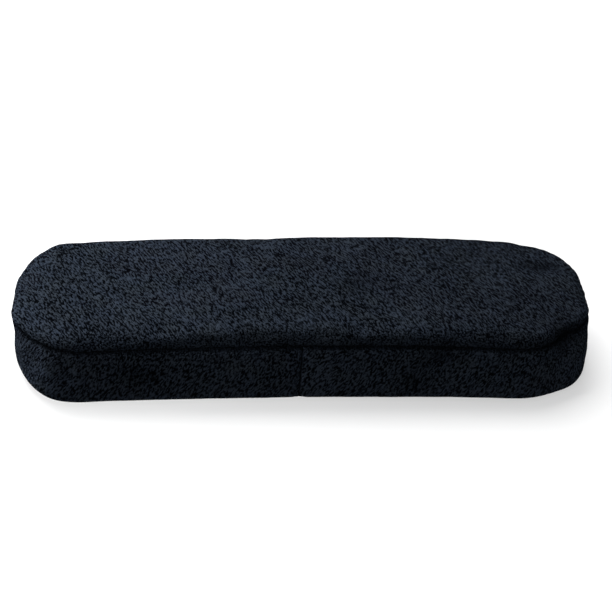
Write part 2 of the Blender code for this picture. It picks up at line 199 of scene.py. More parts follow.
class Finish:
    """A material made of nodes."""

    def __init__(self, name, roughness=0.9):
        self.material = bpy.data.materials.new(f"pad_{name}")
        self.material.use_nodes = True
        self.tree = self.material.node_tree
        self.tree.nodes.clear()
        self.shader = self.node("ShaderNodeBsdfPrincipled", inputs={"Roughness": roughness})
        self.node("ShaderNodeOutputMaterial", inputs={"Surface": self.shader.outputs[0]})
        self.place = self.node("ShaderNodeTexCoord").outputs["Object"]

    def put(self, socket, value):
        """Gives a socket its value or its link."""
        if isinstance(value, Value):
            value = value.socket
        if isinstance(value, bpy.types.NodeSocket):
            self.tree.links.new(value, socket)
        else:
            socket.default_value = value

    def node(self, kind, settings=None, inputs=None):
        """A node of that kind, its settings set first and then its sockets, each with a value or a link."""
        made = self.tree.nodes.new(kind)
        for name, value in (settings or {}).items():
            setattr(made, name, value)
        for name, value in (inputs or {}).items():
            self.put(made.inputs[name], value)
        return made

    def value(self, kind, settings=None, inputs=None, output=0):
        return Value(self, self.node(kind, settings, inputs).outputs[output])

    def set(self, **sockets):
        for name, value in sockets.items():
            self.put(self.shader.inputs[name.replace("_", " ")], value)

    def place_on(self, axis):
        """The piece's own coordinate along one axis."""
        return self.value("ShaderNodeSeparateXYZ", inputs={0: self.place}, output=axis)

    def turned_place(self, size, turn=(0.0, 0.0, 0.0)):
        """The piece's own coordinates, counted in cells of that size along turned axes."""
        inputs = {"Vector": self.place, "Rotation": turn, "Scale": size}
        return self.node("ShaderNodeMapping", {"vector_type": "TEXTURE"}, inputs).outputs[0]

    def cloud(self, size, turn=(0.0, 0.0, 0.0), detail=2.0, roughness=0.5):
        """Soft noise from 0 to 1 with cells of that size."""
        size = (size, size, size) if isinstance(size, float) else size
        inputs = {"Vector": self.turned_place(size, turn), "Scale": 1.0}
        return self.value("ShaderNodeTexNoise", inputs=inputs | {"Detail": detail, "Roughness": roughness})

    def mix(self, factor, first, second):
        """One colour turning into the other."""
        made = self.node("ShaderNodeMix", {"data_type": "RGBA"}, {"Factor": factor})
        for name, value in (("A", first), ("B", second)):
            socket = next(s for s in made.inputs if s.name == name and s.type == "RGBA")
            self.put(socket, value if isinstance(value, bpy.types.NodeSocket) else (*value, 1.0))
        return next(s for s in made.outputs if s.type == "RGBA")

    def near(self, point, reach):
        """1 at the point, falling to 0 at that reach along each axis."""
        kind = "ShaderNodeVectorMath"
        moved = self.node(kind, {"operation": "SUBTRACT"}, {0: self.place, 1: point}).outputs[0]
        shrunk = self.node(kind, {"operation": "DIVIDE"}, {0: moved, 1: reach}).outputs[0]
        distance = self.value(kind, {"operation": "LENGTH"}, {0: shrunk}, output="Value")
        return (1 - distance).clamped() ** 1.5

    def bump(self, height, distance, strength):
        inputs = {"Height": height, "Distance": distance, "Strength": strength}
        self.set(Normal=self.node("ShaderNodeBump", inputs=inputs).outputs[0])


# The pile's grain runs down to the right on the top face, and up to the right on the front.
TOP_GRAIN = tuple(Vector((0.44, -0.90, 0.10)).to_track_quat("X", "Z").to_euler())
SIDE_GRAIN = tuple(Vector((0.50, -0.30, 0.81)).to_track_quat("X", "Z").to_euler())
# Places where the pile was stroked and looks darker, with painted shade in the crease of the tucked fold at
# the right front corner: middle, reach along each axis, and how much darker
STROKED = (
    ((0.025, -0.003, 0.0356), (0.019, 0.014, 0.015), 0.60),
    ((0.114, 0.017, 0.0345), (0.017, 0.009, 0.015), 0.75),
    ((0.060, -0.0435, 0.0260), (0.018, 0.018, 0.009), 0.60),
    ((0.048, -0.0435, 0.0140), (0.014, 0.018, 0.014), 0.55),
    # painted shade in the tucked fold's crease at the right front corner
    ((0.118, -0.0340, 0.0290), (0.021, 0.018, 0.011), 0.92),
    ((-0.074, -0.0435, 0.0170), (0.022, 0.018, 0.010), 0.50),
)
# The same, where it looks lighter
BRUSHED = (
    ((0.005, -0.0435, 0.014), (0.012, 0.018, 0.022), 0.50),
    ((0.121, -0.0300, 0.014), (0.018, 0.022, 0.016), 0.45),
)


def plush_finish(colours, seam_height):
    """Black short-pile plush: diagonal grain, fine pile, and patches where the pile leans another way, with
    painted shade along the seams and a painted falloff of light that darkens the top towards its right end.
    """
    finish = Finish("plush_pile", 0.95)
    fibre = (2.4 * MM, 0.72 * MM, 0.72 * MM)
    on_top = finish.place_on("Z").stretched(seam_height - 0.2 * MM, seam_height + 0.2 * MM)
    top_grain = finish.cloud(fibre, TOP_GRAIN, 1.5, 0.55)
    side_grain = finish.cloud(fibre, SIDE_GRAIN, 1.5, 0.55)
    grain = side_grain + (top_grain - side_grain) * on_top
    pile = finish.cloud(0.8 * MM, detail=2.0)
    nap = finish.cloud(26 * MM, detail=3.0, roughness=0.55)
    stroke = finish.cloud((13 * MM, 5 * MM, 5 * MM), TOP_GRAIN, 2.0)
    tint = finish.cloud(9 * MM, detail=1.0)
    shade = (
        grain.stretched(0.42, 0.59) * 0.86
        + pile.stretched(0.35, 0.65) * 0.26
        + nap.stretched(0.35, 0.65) * 0.16
        + stroke.stretched(0.35, 0.65) * 0.14
        - 0.30
    )
    # Painted seam shade: darker along the seams and the front's joint, partly pile pressed flat and partly
    # painted shade in the crease.
    seam = finish.value("ShaderNodeAttribute", {"attribute_name": "seam"}, output="Fac")
    shade = shade * (1 - seam * 0.85)
    for middle, reach, depth in STROKED:
        shade = shade * (1 - finish.near(middle, reach) * depth)
    for middle, reach, lift in BRUSHED:
        shade = shade * (1 + finish.near(middle, reach) * lift)
    # Painted shade: the top face is painted darker towards its right end, as if the light fell from the left.
    painted_light_falloff = finish.place_on("X").stretched(-0.13, 0.13)
    shade = shade * (1.08 - painted_light_falloff * on_top * 0.34)
    warm = tuple(c * k for c, k in zip(colours.pile_light, (1.06, 1.02, 0.92)))
    light = finish.mix(tint.stretched(0.35, 0.7), tuple(colours.pile_light), warm)
    finish.set(
        Base_Color=finish.mix(shade.clamped(), tuple(colours.pile_dark), light),
        Roughness=0.98 - grain * 0.16,
        Sheen_Weight=0.003,
        Sheen_Roughness=0.5,
        Sheen_Tint=(0.70, 0.80, 0.95, 1.0),
        Specular_IOR_Level=0.0,
    )
    finish.bump(grain * 0.75 + pile * 0.25, 1.2 * MM, 1.0)
    return finish.material


def woven_finish(name, shade, rib, across):
    """Woven tape: fine ribs one way and finer picks the other, the ribs painted paler and the hollows between
    them painted darker as shade, with soft patches of wear.
    """
    finish = Finish(name, 0.75)

    def wave(way, size, distortion):
        """Soft stripes from 0 to 1, one to each length of that size."""
        return finish.value(
            "ShaderNodeTexWave",
            {"wave_type": "BANDS", "bands_direction": way, "wave_profile": "SIN"},
            {"Vector": finish.turned_place((size, size, size)), "Scale": 0.3183, "Distortion": distortion},
            output="Fac",
        )

    wear = finish.cloud(6 * MM, detail=3.0)
    weave = wave("X", rib, 0.4) * 0.6 + wave("Y", across, 0.6) * 0.4
    # Painted shade: darker in the hollows of the weave and paler on its ribs, mixed with the wear patches.
    dark = tuple(c * 0.55 for c in shade)
    pale = tuple(min(1.0, c * 2.1 + 0.004) for c in shade)
    finish.set(
        Base_Color=finish.mix((weave * 0.6 + wear.stretched(0.35, 0.7) * 0.4).clamped(), dark, pale),
        Roughness=0.85 - weave * 0.2,
        Specular_IOR_Level=0.2,
    )
    finish.bump(weave, 0.25 * MM, 0.8)
    return finish.material


def smooth_finish(name, shade, roughness, metallic=0.0, grain=0.8 * MM, depth=0.03 * MM):
    """Moulded nylon, rubber or painted metal: faint mottling, rubbed brighter in places."""
    finish = Finish(name, roughness)
    mottle = finish.cloud(grain, detail=2.0)
    wear = finish.cloud(4 * MM, detail=3.0)
    pale = tuple(min(1.0, c * 1.9 + 0.006) for c in shade)
    finish.set(
        Base_Color=finish.mix(wear.stretched(0.45, 0.75) * 0.7, tuple(shade), pale),
        Roughness=(roughness - 0.12 + mottle * 0.24).clamped(),
        Metallic=metallic,
    )
    finish.bump(mottle, depth, 0.5)
    return finish.material


def foam_finish(colours):
    """Memory foam: fine open cells."""
    finish = Finish("foam_cells", 0.95)
    cells = finish.value(
        "ShaderNodeTexVoronoi",
        {"feature": "F1"},
        {"Vector": finish.turned_place((0.8 * MM, 0.8 * MM, 0.8 * MM)), "Scale": 1.0},
        output="Distance",
    )
    ageing = finish.cloud(20 * MM, detail=2.0)
    old = tuple(c * k for c, k in zip(colours.foam, (1.5, 1.4, 1.2)))
    finish.set(
        Base_Color=finish.mix(ageing.stretched(0.35, 0.75) * 0.6, tuple(colours.foam), old),
        Roughness=0.9 + cells * 0.1,
    )
    finish.bump(cells, 0.3 * MM, 0.6)
    return finish.material


def finish_of(name):
    """The material of that name, made the first time that it is asked for."""
    if name in FINISHES:
        return FINISHES[name]
    pad = bpy.context.scene.armrest_pad
    colours = pad.colours
    web, nylon = tuple(colours.webbing), tuple(colours.nylon)
    makers = {
        "plush": lambda: plush_finish(colours, pad.cover.seam_height),
        "foam": lambda: foam_finish(colours),
        "webbing": lambda: woven_finish("webbing", web, 1.3 * MM, 0.9 * MM),
        "loop_pile": lambda: woven_finish("loop_pile", nylon, 0.6 * MM, 0.7 * MM),
        "zip_tape": lambda: woven_finish("zip_tape", web, 0.55 * MM, 0.9 * MM),
        "grip_cloth": lambda: woven_finish("grip_cloth", web, 0.7 * MM, 0.7 * MM),
        "nylon": lambda: smooth_finish("nylon", nylon, 0.42),
        "thread": lambda: woven_finish("thread", nylon, 0.5 * MM, 0.5 * MM),
        "grip_rubber": lambda: smooth_finish("grip_rubber", tuple(colours.grip), 0.55),
        "painted_metal": lambda: smooth_finish(
            "painted_metal", tuple(colours.metal), 0.36, 0.6, 1.5 * MM, 0.02 * MM
        ),
    }
    FINISHES[name] = makers[name]()
    return FINISHES[name]


# ---------------------------------------------------------------- making pieces


def scaled(x, y, z):
    return Matrix.Diagonal((x, y, z, 1.0))


def put_in_order(bm):
    """Orders a mesh by where its parts are, so that it and its settled cloth come out the same each time."""
    for parts, place in (
        (bm.verts, lambda v: tuple(v.co)),
        (bm.edges, lambda e: tuple(e.verts[0].co + e.verts[1].co)),
        (bm.faces, lambda f: tuple(f.calc_center_median())),
    ):
        rank = {part: n for n, part in enumerate(sorted(parts, key=place))}
        parts.sort(key=lambda part: rank[part])


def new_object(name, bm, material):
    """The bmesh as a smooth object at the origin."""
    put_in_order(bm)
    mesh = bpy.data.meshes.new(name)
    bm.to_mesh(mesh)
    bm.free()
    mesh.materials.append(material)
    mesh.shade_smooth()
    made = bpy.data.objects.new(name, mesh)
    bpy.context.scene.collection.objects.link(made)
    return made


def finished_piece(name, bm, finish, body, smooth_angle=40.0):
    """A piece of the pad with its material, riding on its body unless that is None."""
    piece = new_object(name, bm, finish_of(finish))
    if smooth_angle:
        piece.data.set_sharp_from_angle(angle=math.radians(smooth_angle))
    if body:
        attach(piece, body)
    return piece


def bake_modifiers(piece):
    """The mesh takes the shape that its modifiers give it, and they go."""
    bpy.context.view_layer.update()
    shown = piece.evaluated_get(bpy.context.evaluated_depsgraph_get())
    mesh = bpy.data.meshes.new_from_object(shown)
    old, name = piece.data, piece.data.name
    piece.modifiers.clear()
    piece.data = mesh
    bpy.data.meshes.remove(old)
    mesh.name = name


def touching(verts, kind):
    """The edges or faces at those vertices, each once and in the same order every time."""
    return list(dict.fromkeys(g for v in verts for g in getattr(v, f"link_{kind}")))


def span(edge):
    """How far an edge reaches along each axis."""
    return Vector([abs(x) for x in edge.verts[0].co - edge.verts[1].co])


def round_off(bm, edges, radius, segments=2):
    bmesh.ops.bevel(
        bm, geom=list(edges), offset=radius, affect="EDGES", segments=segments, profile=0.5, material=-1
    )


def box(bm, low, high, edge=0.0):
    """A box between two corners, with rounded edges."""
    low, high = Vector(low), Vector(high)
    place = Matrix.Translation((low + high) / 2) @ scaled(*(high - low))
    verts = bmesh.ops.create_cube(bm, size=1.0, matrix=place)["verts"]
    if edge:
        round_off(bm, touching(verts, "edges"), edge)
    return verts


def plate(bm, matrix):
    """One flat face, from -1 to 1 each way before the matrix moves it."""
    made = bmesh.ops.create_grid(bm, x_segments=1, y_segments=1, size=1.0, matrix=matrix)
    return touching(made["verts"], "faces")


def swept(bm, geom, steps, **settings):
    """Carries edges or faces along with the spin operator, and gives those at its end."""
    kind = type(geom[0])
    made = bmesh.ops.spin(bm, geom=geom, steps=steps, **settings)
    return [g for g in made["geom_last"] if isinstance(g, kind)]


def run(bm, geom, vector, steps):
    """Carries edges or faces along a straight line."""
    return swept(bm, geom, steps, axis=(0, 0, 1), dvec=Vector(vector) / steps, angle=0.0)


def turn(bm, geom, centre, axis, angle, steps):
    """Carries edges or faces round an axis."""
    return swept(bm, geom, steps, cent=centre, axis=axis, angle=angle)


def wire(bm, points):
    """A few vertices joined in a line."""
    verts = [bm.verts.new(p) for p in points]
    return [bm.edges.new(pair) for pair in zip(verts, verts[1:])]


def face_way(bm, way):
    """Turns the faces of an open panel so that, taken together, they look that way."""
    bmesh.ops.recalc_face_normals(bm, faces=bm.faces)
    if sum(f.normal.dot(Vector(way)) for f in bm.faces) < 0:
        bmesh.ops.reverse_faces(bm, faces=bm.faces)


def stitches(bm, start, end, out, sizes):
    """A row of stitches on a face, each a short rounded thread that dips at both ends."""
    start, end, out = Vector(start), Vector(end), Vector(out)
    line = end - start
    count = max(1, round(line.length / sizes.stitch))
    along = line.normalized()
    axes = Matrix((along, out.cross(along), out)).transposed().to_4x4()
    size = scaled(line.length / count * 0.43, sizes.thread, sizes.thread)
    for n in range(count):
        place = Matrix.Translation(start + line * ((n + 0.5) / count)) @ axes @ size
        bmesh.ops.create_icosphere(bm, subdivisions=1, radius=1.0, matrix=place)


# ---------------------------------------------------------------- the cover's shape


def kept_share(value):
    """The value, kept from 0 to 1."""
    return min(1.0, max(0.0, value))


def hill(distance, reach):
    """1 at no distance, falling smoothly to almost nothing at twice that reach."""
    return math.exp(-((distance / reach) ** 2))


def ripple(point, cell, shift=(0, 0, 0)):
    """Smooth noise about 0 with cells of that size, the same at the same place each time."""
    return noise.noise(point / cell + Vector(shift))


class Outline:
    """The pad's outline: a small rectangle with a wide margin round it."""

    def __init__(self, cover):
        self.radius = cover.corner_radius
        self.core_x = cover.half_length - cover.corner_radius
        self.core_y = cover.half_width - cover.corner_radius

    def core(self, point):
        """The nearest point of the inner rectangle, level with the point."""
        x = max(-self.core_x, min(self.core_x, point.x))
        y = max(-self.core_y, min(self.core_y, point.y))
        return Vector((x, y, point.z))

    def outward(self, point):
        away = point - self.core(point)
        return away.normalized() if away.length > 1e-7 else Vector((0, 0, 0))

    def rim(self, point):
        """0 on the inner rectangle, and 1 on the outline."""
        return (point - self.core(point)).length / self.radius

    def on_edge(self, point):
        """The outline's point straight out from this one, on the floor."""
        core = self.core(point)
        return (core + self.outward(point) * self.radius) * Vector((1, 1, 0))


# Where the cover is pushed in or out: the angle of the way out, seen from above, and its spread, in degrees,
# then how far at the seam and how far below it. 0 is the right end, and -90 is the front.
PUSHED = (
    (0.0, 30.0, 2.2 * MM, 1.2 * MM),
    (40.0, 18.0, 1.0 * MM, 0.0),
    (90.0, 12.0, 0.6 * MM, 0.0),
    (75.0, 14.0, -0.6 * MM, 0.0),
    (120.0, 15.0, 4.6 * MM, 0.0),
    (146.0, 15.0, 2.2 * MM, 0.0),
    (185.0, 20.0, 2.2 * MM, 0.4 * MM),
    (-160.0, 16.0, 0.4 * MM, -0.8 * MM),
    (-118.0, 16.0, 0.4 * MM, 1.4 * MM),
    (-90.0, 14.0, 0.3 * MM, 0.3 * MM),
    (-38.0, 16.0, 0.0, 2.0 * MM),
)


class CoverForm:
    """Moves the points of a plain cover into the worn shape that a foam pad's has."""

    def __init__(self, cover):
        self.cover = cover
        self.outline = Outline(cover)
        self.tuck = Vector((119.5 * MM, -35.5 * MM, cover.seam_height))
        self.dent = Vector((118 * MM, 17.5 * MM, cover.height))

    def bearing(self, point):
        out = self.outline.outward(point)
        return math.degrees(math.atan2(out.y, out.x)) if out.length else None

    def frontness(self, point):
        return kept_share(-self.outline.outward(point).y)

    def sag(self, point):
        """How far the front's top seam rises or falls there."""
        level = 95 * MM / math.sqrt(2)  # how far from the middle it is at its own height
        return self.cover.seam_arch * max(-1.0, 1 - (point.x / level) ** 2) * self.frontness(point)

    def joint_x(self, height):
        """Where the slanting joint in the front is, at that height."""
        return 1.5 * MM * (height / self.cover.seam_height - 1.5)

    def seam_gaps(self, point):
        """How far the point is from the top seam, and from the front's joint."""
        seam, far = self.cover.seam_height, 20 * MM
        from_seam = abs(point.z - seam - self.sag(point)) if self.outline.rim(point) > 0.8 else far
        in_front = point.y < -0.8 * self.cover.half_width and point.z < seam
        return from_seam, abs(point.x - self.joint_x(point.z)) if in_front else far

    def by_zip(self, point):
        """1 along the zip, where the cover is pulled flat, falling to 0 away from it."""
        if point.y < 0:
            return 0.0
        zip_height, half_length, half_height = 17.5 * MM, 110 * MM, 9.5 * MM
        along = (half_length - abs(point.x)) / (8 * MM)
        across = (half_height - abs(point.z - zip_height)) / (3 * MM)
        return kept_share(along) * kept_share(across)

    def broad(self, point):
        """The pushes at the ends and the corners, the arch under the front, and the slanting joint."""
        cover, outline = self.cover, self.outline
        moved = point.copy()
        bearing, rim = self.bearing(point), outline.rim(point)
        inner = 0.55  # where the pushes fade out on the top face
        if bearing is not None and rim > inner:
            for middle, spread, at_seam, below in PUSHED:
                gap = abs((bearing - middle + 180) % 360 - 180)
                low = kept_share((cover.seam_height - point.z) / (4 * MM))
                push = at_seam + (below - at_seam) * low
                if point.z > cover.seam_height:
                    push = at_seam * kept_share((rim - inner) / 0.35)
                moved += outline.outward(point) * push * hill(gap, spread)
        above = max(0.0, point.z - cover.seam_height) / (cover.height - cover.seam_height)
        moved.z += above * max(-cover.drop, cover.crown * (1 - (point.x / (85 * MM)) ** 2))
        near_seam = 1 - above if above else point.z / cover.seam_height
        moved.z += self.sag(point) * near_seam
        lift = cover.arch * max(0.0, 1 - (point.x / (0.8 * cover.half_length)) ** 2)
        moved.z += lift * max(0.0, 1 - point.z / (14 * MM)) * (0.55 if point.y > 0 else 1.0)
        if point.y < 0:
            moved.x += self.joint_x(point.z) * hill(point.x, 9 * MM) * self.frontness(point)
        flat_y = cover.half_width - 0.4 * MM
        moved.y -= self.by_zip(point) * max(0.0, moved.y - flat_y)
        return moved

    def relief(self, point, normal):
        """How the fine shape moves a point: soft waves, gathers square to the seams, a tucked corner, a dent.

        Close to a seam, both panels move the same way, straight out from the pad, so the seam stays shut.
        """
        cover = self.cover
        out, edge = self.outline.outward(point), self.outline.on_edge(point)
        from_seam, from_joint = self.seam_gaps(point)
        wave = 0.38 * MM * ripple(point, 38 * MM) + 0.16 * MM * ripple(point, 13 * MM, (7, 3, 1))
        if self.outline.rim(point) > 0.7:
            roll = hill(point.z - cover.height + 2.5 * MM, 3 * MM)
            wave += 0.45 * MM * roll * ripple(edge, 9 * MM, (5, 1, 8))
        gather = ripple(edge, 2.9 * MM) + 0.6 * ripple(edge, 6.5 * MM, (2, 9, 4))
        joint = hill(from_joint, 2.2 * MM)
        pucker = cover.pucker * gather * math.exp(-from_seam / (3.4 * MM))
        pucker -= 1.2 * cover.pucker * hill(from_seam, 1.5 * MM) + 0.5 * MM * joint
        fold = 3.4 * MM * hill(((point - self.tuck) * Vector((1, 1, 1.4))).length, 8 * MM)
        dent = 0.8 * MM * hill(((point - self.dent) * Vector((0.6, 1.6, 1))).length, 5 * MM)
        shared = max(hill(from_seam, 2.5 * MM), joint)
        way = (normal * (1 - shared) + out * shared).normalized()
        return way * (wave + pucker - dent) * (1 - self.by_zip(point)) - out * fold


def round_grid(bm, half_x, half_y, radius, cell):
    """A grid whose corners are drawn in to quarter circles, so that its rows follow the outline."""
    columns, rows = round(2 * half_x / cell), round(2 * half_y / cell)
    size = scaled(half_x, half_y, 1.0)
    bmesh.ops.create_grid(bm, x_segments=columns, y_segments=rows, size=1.0, matrix=size)
    for vert in bm.verts:
        x, y = vert.co.x, vert.co.y
        a = (abs(x) - (half_x - radius)) / radius
        b = (abs(y) - (half_y - radius)) / radius
        if a > 0 and b > 0:
            reach = max(a, b)
            angle = QUARTER / 2 * (b / a if a > b else 2 - a / b)
            vert.co.x = math.copysign(half_x - radius + radius * reach * math.cos(angle), x)
            vert.co.y = math.copysign(half_y - radius + radius * reach * math.sin(angle), y)


def settle(piece, held, pressure, cap, slack):
    """Lets a panel settle as cloth, blown out gently and held where held(point) is true.

    The cloth is cut larger by that slack, as a share of its size, and no point moves further than the cap.
    """
    settings = bpy.context.scene.armrest_pad
    start = [v.co.copy() for v in piece.data.vertices]
    group = piece.vertex_groups.new(name="held")
    for vert in piece.data.vertices:
        group.add([vert.index], 1.0 if held(vert.co) else 0.0, "REPLACE")
    cloth = piece.modifiers.new("Cloth", "CLOTH")
    cloth.settings.vertex_group_mass = group.name
    cloth.settings.quality = 6
    cloth.settings.mass = 0.02
    cloth.settings.tension_stiffness = cloth.settings.compression_stiffness = 20.0
    cloth.settings.bending_stiffness = 0.05
    cloth.settings.shrink_min = -slack
    cloth.settings.use_pressure = True
    cloth.settings.uniform_pressure_force = pressure
    cloth.settings.effector_weights.gravity = 0.0
    cloth.point_cache.frame_start, cloth.point_cache.frame_end = 1, settings.settle_frames
    for step in range(1, settings.settle_frames + 1):
        bpy.context.scene.frame_set(step)
    shown = piece.evaluated_get(bpy.context.evaluated_depsgraph_get())
    settled = [v.co.copy() for v in shown.data.vertices]
    piece.modifiers.remove(cloth)
    piece.vertex_groups.remove(group)
    bpy.context.scene.frame_set(1)
    for vert, before, after in zip(piece.data.vertices, start, settled):
        step = after - before
        vert.co = before + step * min(1.0, cap / max(step.length, 1e-9))
    piece.data.update()


def refine(piece, levels):
    """Subdivides a settled panel into smooth fine cloth."""
    smooth = piece.modifiers.new("Refine", "SUBSURF")
    smooth.levels = smooth.render_levels = levels
    smooth.boundary_smooth = "PRESERVE_CORNERS"
    bake_modifiers(piece)


def thicken(piece, thickness):
    """Gives a panel its cloth's thickness, on the inner side."""
    solid = piece.modifiers.new("Thickness", "SOLIDIFY")
    solid.thickness, solid.offset = thickness, -1.0
    solid.use_even_offset = False
    bake_modifiers(piece)


def finish_panel(piece, form):
    """Refines a panel, gives it its relief and thickness, and stores a painted seam shade at each point,
    strongest on the seams and the front's joint.
    """
    refine(piece, 2)
    verts = piece.data.vertices
    moved = [v.co + form.relief(v.co.copy(), v.normal.copy()) for v in verts]
    for vert, place in zip(verts, moved):
        vert.co = place
    piece.data.update()
    thicken(piece, form.cover.cloth)
    piece.data.shade_smooth()
    bm = bmesh.new()
    bm.from_mesh(piece.data)
    bmesh.ops.recalc_face_normals(bm, faces=bm.faces)
    bm.to_mesh(piece.data)
    bm.free()
    # Painted seam shade, read by the plush material: darker near the seams and the front's joint, partly
    # pressed pile and partly painted crease shade.
    painted_seam_shade = piece.data.attributes.new("seam", "FLOAT", "POINT")
    for vert, cell in zip(piece.data.vertices, painted_seam_shade.data):
        seam, joint = form.seam_gaps(vert.co)
        cell.value = max(hill(seam, 0.9 * MM), hill(joint, 0.8 * MM))


def declare_cloth(piece, flat, *nodes):
    """Hides the nodes that a finished panel stands for, and sets the panel on the root body. The flat size is
    not used.
    """
    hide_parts(*nodes)
    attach(piece, "root")


def between(start, end, across, up):
    """The section point (across, up) at those shares of the way from one to the other."""
    return start[0] + (end[0] - start[0]) * across, start[1] + (end[1] - start[1]) * up


def arc(start, end, steps, bow="out"):
    """Points of a quarter ellipse between two section points, without the first."""
    found = []
    for n in range(1, steps + 1):
        angle = QUARTER * n / steps
        across, up = math.sin(angle), 1 - math.cos(angle)
        if bow == "in":
            across, up = 1 - math.cos(angle), math.sin(angle)
        found.append(between(start, end, across, up))
    return found


def section_length(section):
    return sum(math.dist(a, b) for a, b in zip(section, section[1:]))


def band_section(cover):
    """The side band's section, across from the core and up, from the top seam down to the underside's.

    It bellies out to its widest half way down, and turns under the pad to a lip inside the underside's edge.
    """
    seam, radius = cover.seam_height, cover.corner_radius
    top = (radius - 1.5 * MM, seam)
    shoulder = (radius - cover.bulge * 0.25, seam - 1.1 * MM)
    widest = (radius + 0.8 * MM, seam * 0.5)
    low = (radius + 0.4 * MM, 5.2 * MM)
    under = (radius - 3.9 * MM, 0.05 * MM)
    lip = ((6.4, 0.1), (7.6, 1.3), (8.6, 3.0), (9.2, 3.75))  # in from the outline and up, in millimetres
    section = [top, *arc(top, shoulder, 3)]
    section += [between(shoulder, widest, math.sin(QUARTER * n / 4), n / 4) for n in range(1, 5)]
    section += [between(widest, low, (n / 3) ** 2, n / 3) for n in range(1, 4)]
    section += arc(low, under, 5, "in")
    return section + [(radius - inset * MM, up * MM) for inset, up in lip]


# ---------------------------------------------------------------- operators


class ARMREST_OT_foam(bpy.types.Operator):
    """Make the memory-foam block, rounded and hollowed underneath, with slack between it and its cover"""

    bl_idname = "armrest.foam"
    bl_label = "Foam block"

    def execute(self, context):
        cover = context.scene.armrest_pad.cover
        slack = Vector((1.0, 1.0, 1.1)) * cover.foam_slack
        low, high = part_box("foam_core")
        low, high = low + slack, high - slack
        bm = bmesh.new()
        box(bm, low, high)
        upright = [e for e in bm.edges if span(e).z > MM]
        round_off(bm, upright, cover.corner_radius - (cover.half_length - high.x), 14)
        for face, radius in ((low.z, 3.0 * MM), (high.z, 8.0 * MM)):
            rim = [e for e in bm.edges if max(abs(v.co.z - face) for v in e.verts) < 1e-6]
            round_off(bm, rim, radius, 5)
        base = [f for f in bm.faces if f.normal.z < -0.9 and f.calc_area() > 1e-3]
        for step in (0.6 * MM, 1.0 * MM):
            bmesh.ops.inset_region(bm, faces=base, thickness=step, use_even_offset=True)
        rise = UNDERSIDE_BOX[1].z + 0.3 * MM - low.z
        bmesh.ops.translate(bm, verts=list({v for f in base for v in f.verts}), vec=(0, 0, rise))
        foam = finished_piece("foam_block", bm, "foam", "root")
        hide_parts("foam_core")
        return {"FINISHED"}


class ARMREST_OT_cover_top(bpy.types.Operator):
    """Make the plush top, flat in the middle and rolled down to its seam"""

    bl_idname = "armrest.cover_top"
    bl_label = "Plush top"

    def execute(self, context):
        cover = context.scene.armrest_pad.cover
        form = CoverForm(cover)
        outline = form.outline
        lip = cover.seam_height - 0.15 * MM
        flat = cover.corner_radius - cover.top_roll
        shoulder = (cover.corner_radius - 0.35 * MM, lip + 0.95 * MM)
        section = [(flat, cover.height)]
        section += arc(section[0], shoulder, 8)
        section += arc(shoulder, (cover.corner_radius - 1.5 * MM, lip), 3, "in")
        reach = [section_length(section[: n + 1]) for n in range(len(section))]
        spread = flat + reach[-1] - cover.corner_radius
        half_x, half_y = cover.half_length + spread, cover.half_width + spread
        dish, fade = 0.4 * MM, 6 * MM
        bm = bmesh.new()
        round_grid(bm, half_x, half_y, cover.corner_radius + spread, cover.net)

        def placed(point):
            """Where a point of the flat cut goes: the middle stays flat, and the margin wraps down."""
            core = outline.core(point)
            along = (point - core).length - flat
            crown = dish * max(0.0, 1 - (point.y / half_y) ** 2) * max(0.0, 1 - (point.x / half_x) ** 6)
            if along <= 0:
                return Vector((point.x, point.y, cover.height - dish + crown))
            n = max(k for k, r in enumerate(reach[:-1]) if r <= along + 1e-9)
            share = min(1.0, (along - reach[n]) / (reach[n + 1] - reach[n]))
            across, up = between(section[n], section[n + 1], share, share)
            place = core + outline.outward(point) * across
            return Vector((place.x, place.y, up + (crown - dish) * max(0.0, 1 - along / fade)))

        for vert in bm.verts:
            vert.co = form.broad(placed(vert.co))
        face_way(bm, (0, 0, 1))
        top = finished_piece("cover_top", bm, "plush", None, 0)
        low = cover.seam_height + 1.6 * MM
        settle(top, lambda point: point.z < low, pressure=0.6, cap=1.2 * MM, slack=0.004)
        finish_panel(top, form)
        declare_cloth(top, (2 * half_y, 2 * half_x), "top_panel")
        return {"FINISHED"}


